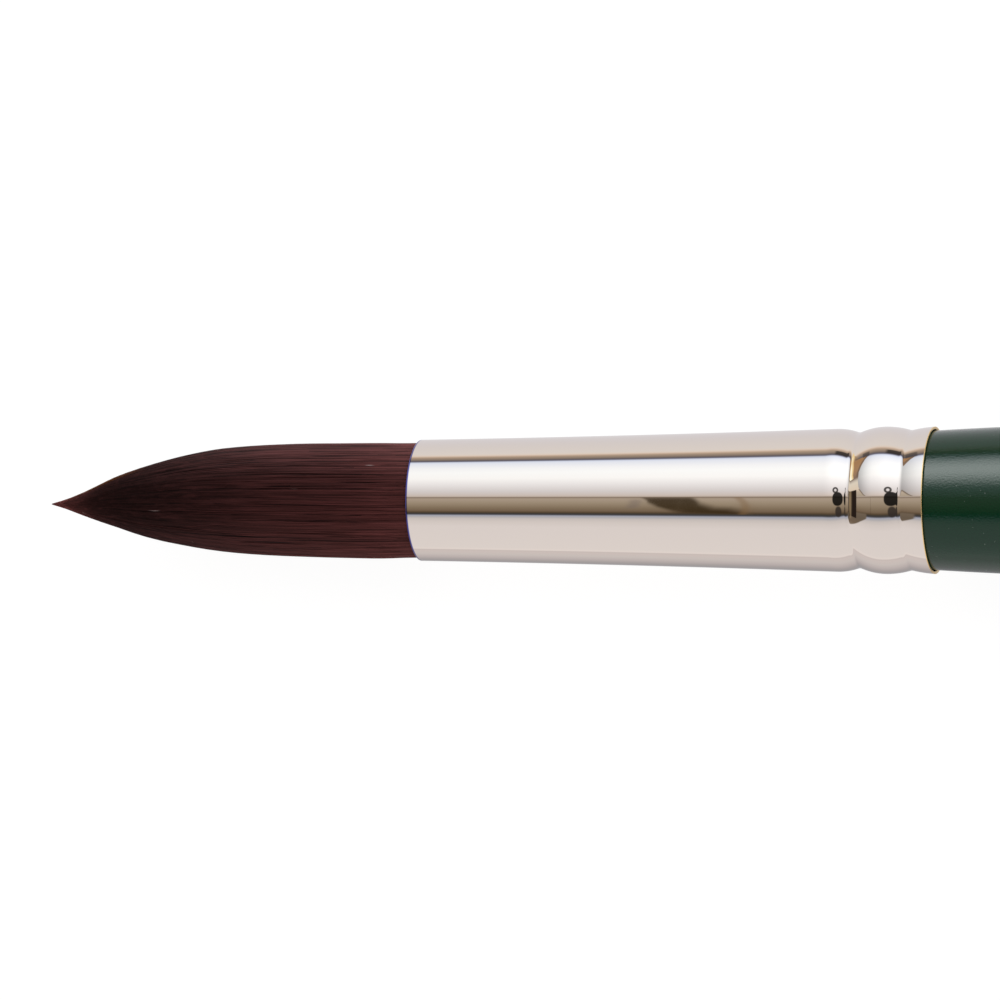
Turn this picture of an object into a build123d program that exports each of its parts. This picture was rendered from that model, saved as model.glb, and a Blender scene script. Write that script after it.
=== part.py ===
from build123d import *

import os
from math import ceil

# A long-handled round artists' brush, number 20, lying along X with its point towards -X.
# Millimetres.  The origin is on the axis, in the middle of the grip, where a holder takes hold.

# Handle
handle_out = 230.0  # from the ferrule's rear edge to the end of the tail
grip_setback = 31.0  # from the ferrule's rear edge to the middle of the grip
grip_length = 10.0  # the straight stretch at the widest place
grip_diameter = 16.3
belly_reach = 80.0  # from the grip's rear end to where the taper turns hollow
belly_drop = 1.9  # how much the radius falls on the way there
tail_diameter = 6.4
tail_round = 2.6
tenon_length = 23.0  # the part inside the ferrule
tenon_chamfer = 0.8
relief_land = 2.0  # how far in front of the shoulder the turned-down part ends
glue_relief = 0.3  # how much the tenon is turned down where the glue goes

# Ferrule: a drawn tube of even wall, swaged to a taper and crimped twice
ferrule_length = 56.5
wall = 0.25
mouth_diameter = 13.12
waist_diameter = 14.01  # halfway along, a little less than a straight cone has
waist_setback = 32.65  # the three setbacks are measured from the ferrule's rear edge
shoulder_diameter = 15.24  # just in front of the first crimp
shoulder_setback = 10.15
front_crimp_diameter = 14.47
front_crimp_setback = 8.05
bead_diameter = 15.66
bead_setback = 5.15  # the bead's highest line
rear_crimp_diameter = 14.9
rear_crimp_setback = 2.5
rear_diameter = 15.62
rear_bulge = 0.055  # how far the last stretch stands out from a straight cone
crimp_flat = 0.3  # how much of each valley's edge the crimping roll flattens
lip_break = 0.12

# Tuft
tuft_out = 42.4  # from the ferrule's mouth to the point
root_depth = 24.0  # how far the filaments reach into the ferrule
root_draw = 0.6  # how far the thread draws the bundle in, on the radius
core_diameter = 5.2
belly_diameter = 9.2
fullness = 4.25  # a higher number keeps the tuft full for longer before it narrows
hollow = 1.5  # a higher number draws the point out finer
point_cut = 0.8  # how much of the ideal needle point is missing
full_share = 0.995  # the sides run straight from where this share of the full radius is reached
nose_step = 4.5  # the outline is followed in straight steps no longer than this

# Binding of the roots
thread_diameter = 0.4
thread_turns = 4
thread_setback = 2.5  # from the filaments' root ends to the binding
thread_groove = 0.15  # how deep the valley between two turns is
resin_rise = 9.0  # how far the resin climbs along the filaments from their root ends
resin_plug = 4.0  # how thick it stands behind them

# Clearances, all measured on the radius
tenon_gap = 0.16
glue_gap = 0.02
tuft_gap = 0.02
layer_gap = 0.04
epoxy_gap = 0.02

# Stations along X
ferrule_rear = -grip_setback
ferrule_mouth = ferrule_rear - ferrule_length
tail_end = ferrule_rear + handle_out
tenon_nose = ferrule_rear - tenon_length
root_end = ferrule_mouth + root_depth
tuft_point = ferrule_mouth - tuft_out
resin_front = root_end - resin_rise
resin_back = root_end + resin_plug
relief_end = ferrule_rear - shoulder_setback - relief_land

# Radii that follow from what each piece fits into
grip_radius = grip_diameter / 2
tail_radius = tail_diameter / 2
tuft_radius = mouth_diameter / 2 - wall - tuft_gap
root_radius = tuft_radius - root_draw
core_radius = core_diameter / 2
belly_radius = belly_diameter / 2

os.makedirs("parts", exist_ok=True)


def ferrule_point(setback, diameter):
    """A point of the ferrule's outer skin, `setback` in front of its rear edge."""
    return (ferrule_rear - setback, diameter / 2)


clear_of_skin = bead_diameter + rear_diameter  # farther from the axis than any of the ferrule
front_crimp = ferrule_point(front_crimp_setback, front_crimp_diameter)
rear_crimp = ferrule_point(rear_crimp_setback, rear_crimp_diameter)


def skin():
    """The ferrule's outer skin from mouth to rear edge: taper, shoulder, bead and flare."""
    shoulder_top = ferrule_point(shoulder_setback, shoulder_diameter)
    bead_top = ferrule_point(bead_setback, bead_diameter)
    flare_middle = (rear_crimp_diameter + rear_diameter) / 2 + 2 * rear_bulge
    with BuildLine() as line:
        taper = ThreePointArc(
            (ferrule_mouth, mouth_diameter / 2),
            ferrule_point(waist_setback, waist_diameter),
            shoulder_top,
        )
        TangentArc(shoulder_top, front_crimp, tangent=taper % 1)
        TangentArc(bead_top, front_crimp, tangent=(-1, 0))
        TangentArc(bead_top, rear_crimp, tangent=(1, 0))
        ThreePointArc(
            rear_crimp,
            ferrule_point(rear_crimp_setback / 2, flare_middle),
            (ferrule_rear, rear_diameter / 2),
        )
    return line.wires()[0]


def moved_in(depth):
    """The skin moved in square to itself, as the inner face of an even wall is."""
    return offset(skin(), amount=depth, side=Side.RIGHT, closed=False).wires()[0]


def inside(depth, start, end):
    """Half section of the space `depth` below the skin, between two stations along X."""
    edge = moved_in(depth)
    with BuildSketch() as space:
        with BuildLine():
            add(edge)
            Polyline(edge @ 1, ((edge @ 1).X, 0), ((edge @ 0).X, 0), edge @ 0)
        make_face()
        with Locations((start, 0)):
            Rectangle(end - start, clear_of_skin, align=Align.MIN, mode=Mode.INTERSECT)
    return space.sketch


def outline_radius(reach):
    """Radius of the shaped tuft, `reach` behind its point."""
    share = (reach + point_cut) / (tuft_out + point_cut)
    return tuft_radius * (1 - (1 - share) ** fullness) ** hollow


def outline_reach(radius):
    """How far behind its point the shaped tuft has this radius."""
    share = 1 - (1 - (radius / tuft_radius) ** (1 / hollow)) ** (1 / fullness)
    return share * (tuft_out + point_cut) - point_cut


def filaments(inner, outer):
    """Half section of the filaments between two radii, each one ending on the tuft's outline."""
    first = outline_reach(inner) if inner else 0
    last = outline_reach(min(outer, full_share * tuft_radius))
    steps = ceil((last - first) / nose_step)
    reaches = [first + (last - first) * step / steps for step in range(steps)]
    nose = [(tuft_point + reach, outline_radius(reach)) for reach in reaches]
    with BuildSketch() as section:
        with BuildLine():
            Polyline(*nose, (tuft_point + last, outer), (root_end, outer))
            Polyline((root_end, outer), (root_end, inner), (nose[0][0], inner))
            if inner == 0:
                Line((tuft_point, 0), nose[0])
        make_face()
    return section.sketch


# The handle is turned from one piece of wood.  Its tenon follows the inside of the ferrule, crimps
# and all, and the front of the tenon is turned down to leave room for the glue.
relief_section = inside(wall + tenon_gap + glue_relief, tenon_nose, relief_end)
crimped_section = inside(wall + tenon_gap, relief_end, ferrule_rear)
neck = crimped_section.vertices().group_by(Axis.X)[-1].sort_by(Axis.Y)[-1]
belly_end = (grip_length / 2 + belly_reach, grip_radius - belly_drop)
with BuildPart() as handle:
    with BuildSketch() as turned_section:
        add(relief_section)
        chamfer(turned_section.vertices().group_by(Axis.X)[0].sort_by(Axis.Y)[-1], tenon_chamfer)
        add(crimped_section)
        with BuildLine():
            grip = Line((-grip_length / 2, grip_radius), (grip_length / 2, grip_radius))
            TangentArc(grip @ 0, (neck.X, neck.Y), tangent=(-1, 0))
            belly = TangentArc(grip @ 1, belly_end, tangent=(1, 0))
            tail = TangentArc(belly_end, (tail_end, tail_radius), tangent=belly % 1)
            Polyline(tail @ 1, (tail_end, 0), (neck.X, 0), (neck.X, neck.Y))
        make_face()
        fillet(turned_section.vertices().group_by(Axis.X)[-1].sort_by(Axis.Y)[-1], tail_round)
    revolve(axis=Axis.X)
handle.part.label = "handle"
export_step(handle.part, "parts/handle.step")

# The ferrule is a drawn tube: its inner face is its skin moved in by the wall.
outer_skin = skin()
inner_skin = moved_in(wall)
with BuildPart() as ferrule:
    with BuildSketch() as wall_section:
        with BuildLine():
            add(outer_skin)
            add(inner_skin)
            Line(outer_skin @ 0, inner_skin @ 0)
            Line(outer_skin @ 1, inner_skin @ 1)
        make_face()
        corners = wall_section.vertices()
        chamfer([corners.sort_by_distance(crimp)[0] for crimp in (front_crimp, rear_crimp)], crimp_flat)
        mouth_corners = wall_section.vertices().sort_by(Axis.X)[:2]
        chamfer(mouth_corners.sort_by(Axis.Y)[-1], lip_break)
    revolve(axis=Axis.X)
ferrule.part.label = "ferrule"
export_step(ferrule.part, "parts/ferrule.step")

# A film of glue fills the turned-down front of the tenon.
film_section = inside(wall + glue_gap, tenon_nose + tenon_chamfer, relief_end - glue_gap)
film_bore = inside(wall + tenon_gap + glue_relief - glue_gap, tenon_nose, relief_end)
with BuildPart() as tenon_glue:
    with BuildSketch():
        add(film_section)
        add(film_bore, mode=Mode.SUBTRACT)
    revolve(axis=Axis.X)
tenon_glue.part.label = "tenon_glue"
export_step(tenon_glue.part, "parts/tenon_glue.step")

# The tuft is laid in three depths: the longest filaments make the point and the shortest the
# full sides.
core_section = filaments(0, core_radius)
with BuildPart() as core_filaments:
    add(core_section)
    revolve(axis=Axis.X)
core_filaments.part.label = "core_filaments"
export_step(core_filaments.part, "parts/core_filaments.step")

belly_section = filaments(core_radius + layer_gap, belly_radius)
with BuildPart() as belly_filaments:
    add(belly_section)
    revolve(axis=Axis.X)
belly_filaments.part.label = "belly_filaments"
export_step(belly_filaments.part, "parts/belly_filaments.step")

# The outermost filaments are drawn in where they are tied.
outer_section = filaments(belly_radius + layer_gap, tuft_radius)
with BuildPart() as outer_filaments:
    with BuildSketch():
        add(outer_section)
        with Locations((resin_front, root_radius)):
            Rectangle(resin_rise, tuft_radius, align=Align.MIN, mode=Mode.SUBTRACT)
    revolve(axis=Axis.X)
outer_filaments.part.label = "outer_filaments"
export_step(outer_filaments.part, "parts/outer_filaments.step")

# Thread is wound round the roots, each turn pressed against the last.
binding_bore = root_radius + tuft_gap
binding_radius = binding_bore + thread_diameter
binding_length = thread_turns * thread_diameter
binding_front = root_end - thread_setback - binding_length
turn_crests = [binding_front + (turn + 0.5) * thread_diameter for turn in range(thread_turns)]
ridges = [(binding_front, binding_radius - thread_groove)]
for crest in turn_crests:
    ridges.append((crest, binding_radius))
    ridges.append((crest + thread_diameter / 2, binding_radius - thread_groove))
with BuildPart() as tie_thread:
    with BuildSketch():
        with BuildLine():
            Polyline(*ridges)
            Polyline(
                ridges[-1],
                (binding_front + binding_length, binding_bore),
                (binding_front, binding_bore),
                ridges[0],
            )
        make_face()
    revolve(axis=Axis.X)
tie_thread.part.label = "tie_thread"
export_step(tie_thread.part, "parts/tie_thread.step")

# Resin locks the tied roots in the ferrule: a collar round them and a plug behind them.
collar_section = inside(wall + epoxy_gap, resin_front, resin_back)
with BuildPart() as root_resin:
    with BuildSketch():
        add(collar_section)
        with Locations((resin_front, 0)):
            Rectangle(
                resin_rise + epoxy_gap,
                2 * (root_radius + epoxy_gap),
                align=(Align.MIN, Align.CENTER),
                mode=Mode.SUBTRACT,
            )
        with Locations((binding_front - epoxy_gap, 0)):
            Rectangle(
                binding_length + 2 * epoxy_gap,
                2 * (binding_radius + epoxy_gap),
                align=(Align.MIN, Align.CENTER),
                mode=Mode.SUBTRACT,
            )
    revolve(axis=Axis.X)
root_resin.part.label = "root_resin"
export_step(root_resin.part, "parts/root_resin.step")
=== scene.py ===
import math

import bpy
import numpy as np
from mathutils import Matrix, Vector


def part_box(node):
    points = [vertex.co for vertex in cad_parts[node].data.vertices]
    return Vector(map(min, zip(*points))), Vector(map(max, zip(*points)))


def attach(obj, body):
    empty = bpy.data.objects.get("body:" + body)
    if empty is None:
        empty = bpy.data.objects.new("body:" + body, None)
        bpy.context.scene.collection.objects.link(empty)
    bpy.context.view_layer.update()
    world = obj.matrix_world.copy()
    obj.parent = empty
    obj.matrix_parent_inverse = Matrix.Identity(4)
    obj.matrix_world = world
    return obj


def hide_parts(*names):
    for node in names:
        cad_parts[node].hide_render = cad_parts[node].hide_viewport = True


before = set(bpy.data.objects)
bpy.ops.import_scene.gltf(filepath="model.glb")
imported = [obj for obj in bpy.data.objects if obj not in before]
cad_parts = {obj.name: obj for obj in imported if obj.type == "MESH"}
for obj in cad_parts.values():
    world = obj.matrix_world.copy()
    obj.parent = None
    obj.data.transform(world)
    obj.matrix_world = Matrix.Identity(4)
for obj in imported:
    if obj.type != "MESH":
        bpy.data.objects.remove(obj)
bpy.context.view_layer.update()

# A number 20 round artists' brush, lying along X with its point towards -X.  Profiles are points
# (x, radius) in millimetres in the CAD's frame, and MM turns them into metres.
MM = 0.001

handle_low, handle_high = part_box("handle")
ferrule_low, ferrule_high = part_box("ferrule")
core_low, core_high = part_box("core_filaments")

REAR = ferrule_high.x / MM
MOUTH = ferrule_low.x / MM
TAIL = handle_high.x / MM
NOSE = handle_low.x / MM
POINT = core_low.x / MM
ROOT = core_high.x / MM
TUFT_OUT = MOUTH - POINT

# ------------------------------------------------------------------ sizes
# Ferrule: points are (how far in front of the rear edge, radius)
WALL = 0.25
MOUTH_RADIUS = 6.56
WAIST = (32.65, 7.005)
SHOULDER = (10.15, 7.62)
SHOULDER_START = (10.6, 7.606)
FRONT_CRIMP = ((8.25, 7.235), (7.95, 7.235))
BEAD = (5.15, 7.83)
REAR_CRIMP = ((2.62, 7.46), (2.38, 7.46))
REAR_RADIUS = 7.81
REAR_BULGE = 0.055
SKIN_STEP = 0.08  # how closely the skin is followed
SKIN_ROUND = 0.16  # over what length its corners are rounded

# How each lip is turned in: steps along X and in radius from the end of the skin
MOUTH_LIP = ((0.03, -0.012), (0.0, -0.05), (0.0, -0.1))
REAR_LIP = ((0.0, -0.04), (0.0, -0.12), (0.0, -0.2))

# Handle
TENON_GAP = 0.16
GLUE_RELIEF = 0.3
RELIEF_LAND = 2.0  # how far in front of the shoulder the turned-down part of the tenon ends
NOSE_CHAMFER = 0.8
GRIP_HALF = 5.0
GRIP_RADIUS = 8.15
BELLY_REACH = 80.0
BELLY_DROP = 1.9
TAIL_RADIUS = 3.2
TAIL_ROUND = 2.6
END_HOLE = 0.02  # the radius at which the turned ends stop

# Tuft
TUFT_RADIUS = 6.29
FULLNESS = 4.25
HOLLOW = 1.5
POINT_CUT = 0.8
ROOT_DRAW = 0.6
DRAW_LENGTH = 15.0  # how far behind the mouth the bundle is drawn in by its thread

SEGMENTS = 224  # round the turned pieces
HEART_SEGMENTS = 96
LIP_POINTS = 4  # points of the skin that all stay at the mouth
OUTER_STEPS = (4, 1)  # every how many points stay in front of the crimps, and from there on
INNER_STEPS = (12, 3)
RELIEF_STEP = 12


# ------------------------------------------------------------------ profiles
class Arc:
    """A circular arc in the (x, radius) plane."""

    def __init__(self, centre, radius, start, end):
        self.centre = np.array(centre, float)
        self.radius = radius
        self.start = np.array(start, float)
        self.end = np.array(end, float)

    @classmethod
    def through(cls, a, b, c):
        """The arc from `a` through `b` to `c`."""
        (ax, ay), (bx, by), (cx, cy) = a, b, c
        d = 2 * (ax * (by - cy) + bx * (cy - ay) + cx * (ay - by))
        a2, b2, c2 = ax * ax + ay * ay, bx * bx + by * by, cx * cx + cy * cy
        x = (a2 * (by - cy) + b2 * (cy - ay) + c2 * (ay - by)) / d
        y = (a2 * (cx - bx) + b2 * (ax - cx) + c2 * (bx - ax)) / d
        return cls((x, y), math.hypot(ax - x, ay - y), a, c)

    @classmethod
    def tangent(cls, a, direction, b):
        """The arc that leaves `a` in a direction and ends at `b`."""
        normal = np.array((-direction[1], direction[0]), float)
        normal /= np.linalg.norm(normal)
        chord = np.subtract(b, a)
        reach = chord @ chord / (2 * (chord @ normal))
        return cls(np.array(a) + normal * reach, abs(reach), a, b)

    def slope_at_end(self):
        """The direction in which the arc arrives at its end."""
        out = self.end - self.centre
        along = np.array((out[1], -out[0]))
        return along if along @ (self.end - self.start) > 0 else -along

    def points(self, count):
        a = self.start - self.centre
        b = self.end - self.centre
        first = math.atan2(a[1], a[0])
        turn = math.atan2(a[0] * b[1] - a[1] * b[0], a @ b)
        angles = first + turn * np.linspace(0, 1, count)
        return self.centre + self.radius * np.stack((np.cos(angles), np.sin(angles)), 1)


def station(setback_radius):
    """A point of the ferrule, `setback` in front of its rear edge."""
    return (REAR - setback_radius[0], setback_radius[1])


def ferrule_skin():
    """The ferrule's outer line from mouth to rear edge, as points 0.1 to 0.4 mm apart."""
    taper = Arc.through((MOUTH, MOUTH_RADIUS), station(WAIST), station(SHOULDER))
    turn = station(SHOULDER_START)
    shoulder = Arc.tangent(turn, taper.slope_at_end(), station(FRONT_CRIMP[0]))
    bead_front = Arc.tangent(station(BEAD), (-1, 0), station(FRONT_CRIMP[1]))
    bead_rear = Arc.tangent(station(BEAD), (1, 0), station(REAR_CRIMP[0]))
    crimp_setback, crimp_radius = REAR_CRIMP[1]
    middle = (REAR - crimp_setback / 2, (crimp_radius + REAR_RADIUS) / 2 + REAR_BULGE)
    flare = Arc.through(station(REAR_CRIMP[1]), middle, (REAR, REAR_RADIUS))
    straight = taper.points(140)
    straight = straight[straight[:, 0] < turn[0] - 0.1]
    runs = [straight, shoulder.points(26), bead_front.points(30)[::-1]]
    runs += [bead_rear.points(26)[1:], flare.points(22)]
    return np.concatenate(runs)


def smooth_line(points, step, reach):
    """The line walked in equal steps, with its corners rounded over about `reach`."""
    spans = np.linalg.norm(np.diff(points, axis=0), axis=1)
    length = np.concatenate(([0], np.cumsum(spans)))
    walk = np.linspace(0, length[-1], int(length[-1] / step) + 1)
    line = np.stack([np.interp(walk, length, points[:, i]) for i in (0, 1)], 1)
    half = max(1, int(round(reach / step)))
    kernel = np.hanning(2 * half + 3)[1:-1]
    kernel /= kernel.sum()
    before = 2 * line[0] - line[half:0:-1]
    after = 2 * line[-1] - line[-2 : -half - 2 : -1]
    padded = np.concatenate((before, line, after))
    return np.stack([np.convolve(padded[:, i], kernel, "valid") for i in (0, 1)], 1)


def moved_in(line, depth):
    """The line moved square to itself towards the axis."""
    along = np.gradient(line, axis=0)
    along /= np.linalg.norm(along, axis=1)[:, None]
    return line + depth * np.stack((along[:, 1], -along[:, 0]), 1)


def thinned(line, before, every, every_past):
    """The line with fewer points, and fewest where x is below `before`."""
    straight = line[:, 0] < before
    return np.concatenate((line[straight][::every], line[~straight][::every_past]))


# ------------------------------------------------------------------ meshes
def new_object(name, verts, quads, smooth=True):
    """A mesh object from arrays of points and of four-cornered faces."""
    verts = np.asarray(verts, np.float32)
    quads = np.asarray(quads, np.int32)
    mesh = bpy.data.meshes.new(name)
    mesh.vertices.add(len(verts))
    mesh.vertices.foreach_set("co", verts.ravel())
    mesh.loops.add(quads.size)
    mesh.loops.foreach_set("vertex_index", quads.ravel())
    mesh.polygons.add(len(quads))
    mesh.polygons.foreach_set("loop_start", np.arange(0, quads.size, 4, dtype=np.int32))
    mesh.polygons.foreach_set("use_smooth", np.full(len(quads), smooth))
    mesh.update(calc_edges=True)
    made = bpy.data.objects.new(name, mesh)
    bpy.context.scene.collection.objects.link(made)
    return made


def lathe(name, line, segments, closed=False):
    """A surface turned round X from points (x, radius) in millimetres."""
    angles = np.linspace(0, 2 * np.pi, segments, endpoint=False)
    rings = len(line)
    x = np.repeat(line[:, 0], segments)
    r = np.repeat(line[:, 1], segments)
    a = np.tile(angles, rings)
    verts = np.stack((x, r * np.cos(a), r * np.sin(a)), 1) * MM
    index = np.arange(rings * segments).reshape(rings, segments)
    lower = index if closed else index[:-1]
    upper = np.roll(index, -1, axis=0) if closed else index[1:]
    quads = np.stack((lower, np.roll(lower, -1, 1), np.roll(upper, -1, 1), upper), -1)
    return new_object(name, verts, quads.reshape(-1, 4))


def ride(piece, slot, *nodes):
    """Puts a piece on the brush's one body, in place of the nodes that it dresses."""
    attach(piece, "root")
    if nodes:
        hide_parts(*nodes)


def make_ferrule(skin):
    """A tube of even wall with both lips turned in, and with most points where it bends."""
    inner = moved_in(skin, WALL)
    crimps_start = REAR - SHOULDER_START[0] - 1.0
    taper_on = thinned(skin[LIP_POINTS:], crimps_start, *OUTER_STEPS)
    outer_line = np.concatenate((skin[:LIP_POINTS], taper_on))
    inner_line = thinned(inner[:-1], crimps_start, *INNER_STEPS)
    rear_lip = np.concatenate((skin[-1] + np.array(REAR_LIP), inner[-1:]))
    mouth_lip = skin[0] + np.array(MOUTH_LIP)
    tube = np.concatenate((outer_line, rear_lip, inner_line[::-1], mouth_lip[::-1]))
    tube[:, 0] = np.clip(tube[:, 0], MOUTH, REAR)
    piece = lathe("ferrule_shell", tube, SEGMENTS, closed=True)
    ride(piece, "nickel_plate", "ferrule")
    return piece


def tenon_line(skin):
    """The tenon follows the inside of the ferrule, and its front is turned down for the glue."""
    relief_end = REAR - SHOULDER[0] - RELIEF_LAND
    crimped = moved_in(skin, WALL + TENON_GAP)
    crimped = crimped[(crimped[:, 0] > relief_end) & (crimped[:, 0] < REAR)]
    relieved = moved_in(skin, WALL + TENON_GAP + GLUE_RELIEF)
    relieved = relieved[(relieved[:, 0] > NOSE + NOSE_CHAMFER) & (relieved[:, 0] < relief_end)]
    relieved = relieved[::RELIEF_STEP]
    nose = np.array(((NOSE, END_HOLE), (NOSE, relieved[0, 1] - NOSE_CHAMFER)))
    return np.concatenate((nose, relieved, crimped))


def tail_dome():
    """The rounded end of the handle."""
    angles = np.linspace(0, np.pi / 2, 14)
    x = TAIL - TAIL_ROUND + TAIL_ROUND * np.sin(angles)
    radius = TAIL_RADIUS - TAIL_ROUND + TAIL_ROUND * np.cos(angles)
    return np.concatenate((np.stack((x, radius), 1), [(TAIL, END_HOLE)]))


def make_handle(skin):
    """The handle from its tenon over swell, grip and belly to the tail."""
    tenon = tenon_line(skin)
    neck = (REAR, tenon[-1, 1])
    swell = Arc.tangent((-GRIP_HALF, GRIP_RADIUS), (-1, 0), neck).points(60)[::-1]
    belly_end = (GRIP_HALF + BELLY_REACH, GRIP_RADIUS - BELLY_DROP)
    belly = Arc.tangent((GRIP_HALF, GRIP_RADIUS), (1, 0), belly_end)
    tail = Arc.tangent(belly.end, belly.slope_at_end(), (TAIL, TAIL_RADIUS)).points(100)
    tail = tail[tail[:, 0] < TAIL - TAIL_ROUND]
    turned = np.concatenate((tenon, swell, belly.points(90)[1:], tail[1:], tail_dome()))
    piece = lathe("handle_turned", turned, SEGMENTS)
    ride(piece, "lacquered_wood", "handle")
    return piece


# ------------------------------------------------------------------ tuft
rng = np.random.default_rng(20)
SIDES = 4  # of each filament
RINGS = 26  # along the free part of each filament
STAGGER = 0.45  # how unevenly the filaments stand, as a share of their spacing
ROOT_SHARE = 1.0 - ROOT_DRAW / TUFT_RADIUS
DEEPEST_ROOT = 9.0  # from the root ends to the second ring of each filament
LAST_END = 26.0  # how far behind the point the shortest filaments end
FINE_LENGTH = 15.0  # over which each filament thins towards its end
LOOSE_LENGTH = 6.0  # over which the filaments come free of the ferrule's hold
SLIT_HALF = 0.010  # half the width of a slit, in radians
SLIT_DEEP = 0.12
LINT_TONE = 1.8  # a tone past 1 marks lint
LINT_SHARE = 0.0007
HEART_START = 2.2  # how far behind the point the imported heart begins
HEART_SHARE = 0.93  # of the bundle's radius, less HEART_SINK
HEART_SINK = 0.10

# The layers from the inside out: how many filaments, at what share of the bundle's radius they
# lie and how much that varies, how thick they are, and how far behind the point they mostly end
UNDER = (480, 0.945, 0.010, 0.15, 5.0)
MIDDLE = (760, 0.975, 0.007, 0.11, 6.0)
OUTER = (880, 0.997, 0.003, 0.095, 7.0)

# The point hangs a little to one side, as on brushes that were wetted and dried, and the sides
# fall a little short of the ideal outline.  Each row is the distance behind the point, how far the
# bundle lies towards +Y, and what is added to its radius.
UNEVEN = (
    (0.0, -0.43, -0.065),
    (1.6, -0.415, -0.155),
    (3.0, -0.455, -0.145),
    (4.3, -0.395, -0.17),
    (5.7, -0.31, -0.155),
    (7.1, -0.18, -0.135),
    (8.4, -0.145, -0.15),
    (9.8, -0.165, -0.135),
    (12.5, -0.115, -0.155),
    (15.3, -0.015, -0.155),
    (19.4, 0.055, -0.08),
    (23.5, 0.05, -0.09),
    (29.0, 0.045, -0.085),
    (33.0, -0.005, -0.07),
    (38.5, -0.04, -0.02),
    (40.0, -0.03, -0.065),
    (42.4, 0.0, -0.07),
)
SHAPE_REACH, DROOP, SWELL = zip(*UNEVEN)

# The narrow gaps between locks that show most: turn in degrees, and from where to where they run
# behind the point.  The others are placed at random.
MAIN_SLITS = (
    (111.7, 26.0, 37.0),
    (60.3, 33.0, 39.0),
    (88.0, 23.5, 31.5),
    (127.0, 12.0, 19.0),
    (104.0, 14.0, 24.0),
)
RANDOM_SLITS = 44

# Unevenness round the bundle: how many waves, how they drift along it, and their size
LOCK_WAVES = ((9, 3.0, 0.004), (23, 4.0, 0.004), (61, 6.0, 0.004))
CLUMP_WAVES = ((37, 0, 0.05), (71, 0, 0.06), (113, 0, 0.09), (191, 0, 0.10), (307, 0, 0.08))


def tuft_profile(reach):
    """Radius of the ideal tuft, `reach` behind its point."""
    share = np.clip((reach + POINT_CUT) / (TUFT_OUT + POINT_CUT), 0, 1)
    return TUFT_RADIUS * (1 - (1 - share) ** FULLNESS) ** HOLLOW


def along_tuft(table, reach):
    """A value from a column of UNEVEN, with its corners rounded."""
    fine = np.linspace(0, TUFT_OUT, 200)
    curve = np.interp(fine, SHAPE_REACH, table)
    kernel = np.hanning(17)
    kernel /= kernel.sum()
    curve = np.convolve(np.pad(curve, len(kernel) // 2, mode="edge"), kernel, "valid")
    return np.interp(reach, fine, curve)


def body_radius(reach):
    """Radius of the bundle, free or in the ferrule, `reach` behind the point."""
    shaped = tuft_profile(reach) + along_tuft(SWELL, np.clip(reach, 0, TUFT_OUT))
    drawn = np.interp(reach, (TUFT_OUT, TUFT_OUT + DRAW_LENGTH), (1.0, ROOT_SHARE))
    held = drawn * TUFT_RADIUS + SWELL[-1]
    return np.maximum(np.where(reach > TUFT_OUT, held, shaped), 0.02)


def ripple(angle, walk, waves):
    """A smooth unevenness round the bundle that wanders slowly along it."""
    total = 0
    for count, drift, size in waves:
        total = total + size * np.sin(angle * count + drift * walk + count)
    return total


def choose_slits():
    """The narrow gaps between the locks: turn in degrees, start and end behind the point."""
    slits = list(MAIN_SLITS)
    for _ in range(RANDOM_SLITS):
        start = rng.uniform(8.0, 36.0)
        turn = rng.uniform(0, 360)
        slits.append((turn, start, start + rng.uniform(3.0, 9.0)))
    return slits


SLITS = choose_slits()


def slit_depth(angle, reach):
    """How far a place lies in one of the narrow gaps, from 0 to 1."""
    deepest = np.zeros(np.broadcast(angle, reach).shape)
    for at, start, end in SLITS:
        off = (angle - math.radians(at) + np.pi) % (2 * np.pi) - np.pi
        along = np.clip((reach - start) / 2.0, 0, 1) * np.clip((end - reach) / 2.0, 0, 1)
        deepest = np.maximum(deepest, along * np.exp(-((off / SLIT_HALF) ** 2)))
    return deepest


def filament_reaches(ends):
    """Distances behind the point at which each filament has a ring, from its root to its end."""
    deepest = ROOT - POINT
    roots = np.full((len(ends), 2), (deepest, deepest - DEEPEST_ROOT))
    held = TUFT_OUT + 1.0
    free = held + (ends[:, None] - held) * np.linspace(0, 1, RINGS)
    return np.concatenate((roots, free), 1)


def filament_widths(width, reach, ends, body):
    """Each filament thins over its last stretch, and is never wider than the tuft allows."""
    grown = np.clip((reach - ends[:, None]) / FINE_LENGTH, 0, 1)
    thick = width * rng.uniform(0.8, 1.2, len(ends))[:, None] * (0.2 + 0.8 * grown**0.8)
    return np.minimum(thick, 0.05 + 0.5 * body)


def filament_wander(walk):
    """How far each filament sways and leans round the bundle, in radians."""
    number = len(walk)
    phase = rng.uniform(0, 2 * np.pi, (2, number, 1))
    sway = 0.010 * np.sin(walk * 5.0 + phase[0]) + 0.006 * np.sin(walk * 13.0 + phase[1])
    lean = rng.normal(0, 0.020, number)[:, None] * (walk - 0.5)
    return sway + lean


def lay_tubes(name, centre, around, thick):
    """Closed tubes along the centre lines of the filaments."""
    number, rings = thick.shape
    turn = np.linspace(0, 2 * np.pi, SIDES, endpoint=False) + around[..., None]
    ring = np.stack((np.zeros_like(turn), np.cos(turn), np.sin(turn)), -1)
    verts = centre[:, :, None, :] + ring * (0.5 * thick)[..., None, None]
    index = np.arange(number * rings * SIDES).reshape(number, rings, SIDES)
    near = index[:, :-1]
    far = index[:, 1:]
    sides = np.stack((near, np.roll(near, -1, 2), np.roll(far, -1, 2), far), -1)
    caps = np.concatenate((index[:, 0, ::-1], index[:, -1]))
    quads = np.concatenate((sides.reshape(-1, 4), caps))
    return new_object(name, verts.reshape(-1, 3) * MM, quads)


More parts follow.
